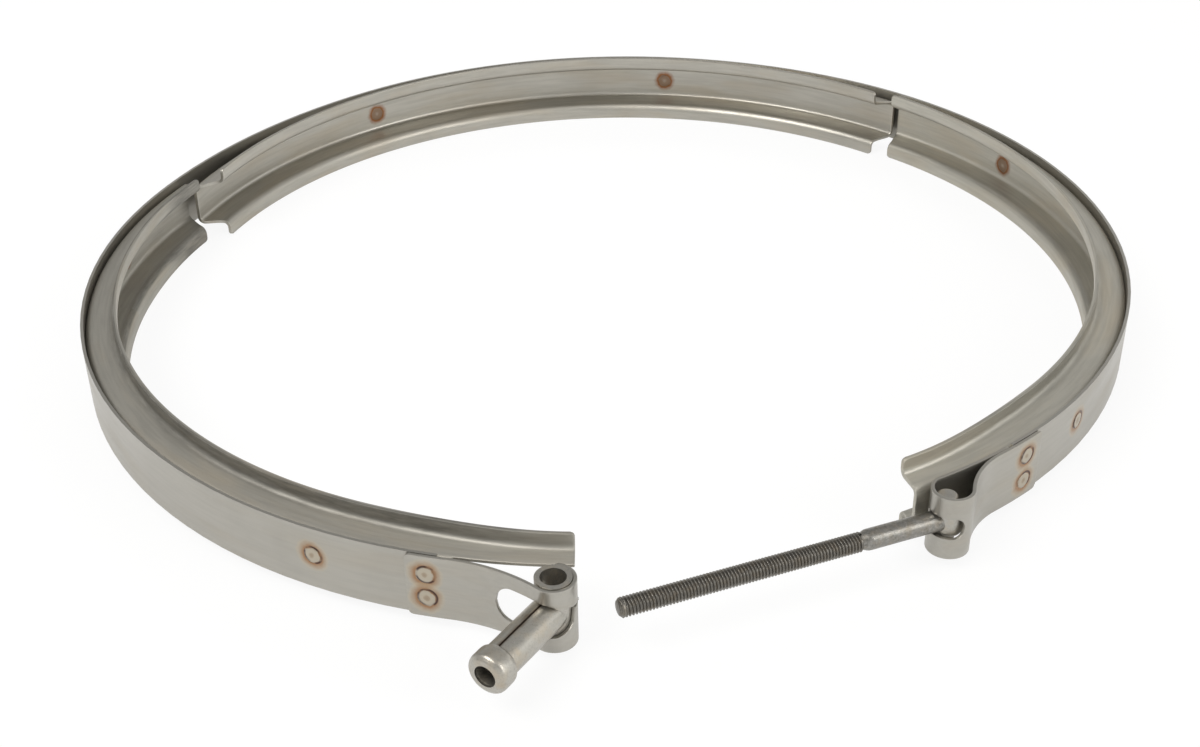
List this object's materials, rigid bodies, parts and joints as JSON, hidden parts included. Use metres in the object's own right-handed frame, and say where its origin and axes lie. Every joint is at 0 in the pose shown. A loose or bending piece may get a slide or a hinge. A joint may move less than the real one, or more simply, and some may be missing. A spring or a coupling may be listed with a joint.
{
  "type": "v band clamp",
  "caption": "Large V-band pipe clamp, sprung open: rolled V retainers spot welded in a thin outer band, with a hinged T-bolt and a swivelling trunnion latch.",
  "frame": {"origin": "axis of the back retainer, on the clamp's middle plane", "axes": "+Z along the pipe's axis, +Y towards the back retainer, the latch at -Y, the trunnion on the -X side"},
  "size_m": [0.3684, 0.4027, 0.0286],
  "materials": {
    "band_steel": "rolled stainless strip",
    "retainer_steel": "roll-formed stainless, long grain",
    "fastener_steel": "pickled stainless"
  },
  "bodies": {
    "clamp": {"outer_band": "band_steel", "retainer_back": "retainer_steel", "retainer_left": "retainer_steel", "retainer_right": "retainer_steel", "loop_strap_left": "band_steel", "loop_strap_right": "band_steel"},
    "trunnion": {"trunnion": "fastener_steel"},
    "t_bolt": {"t_bolt": "fastener_steel"}
  },
  "joints": [
    {"name": "trunnion_swing", "type": "hinge", "parent": "clamp", "child": "trunnion", "pos_m": [-0.02107, -0.19809, 0], "axis": [0, 0, 1], "range_deg": [-25, 25]},
    {"name": "t_bolt_swing", "type": "hinge", "parent": "clamp", "child": "t_bolt", "pos_m": [0.09289, -0.16022, 0], "axis": [0, 0, 1], "range_deg": [-4, 60]}
  ]
}
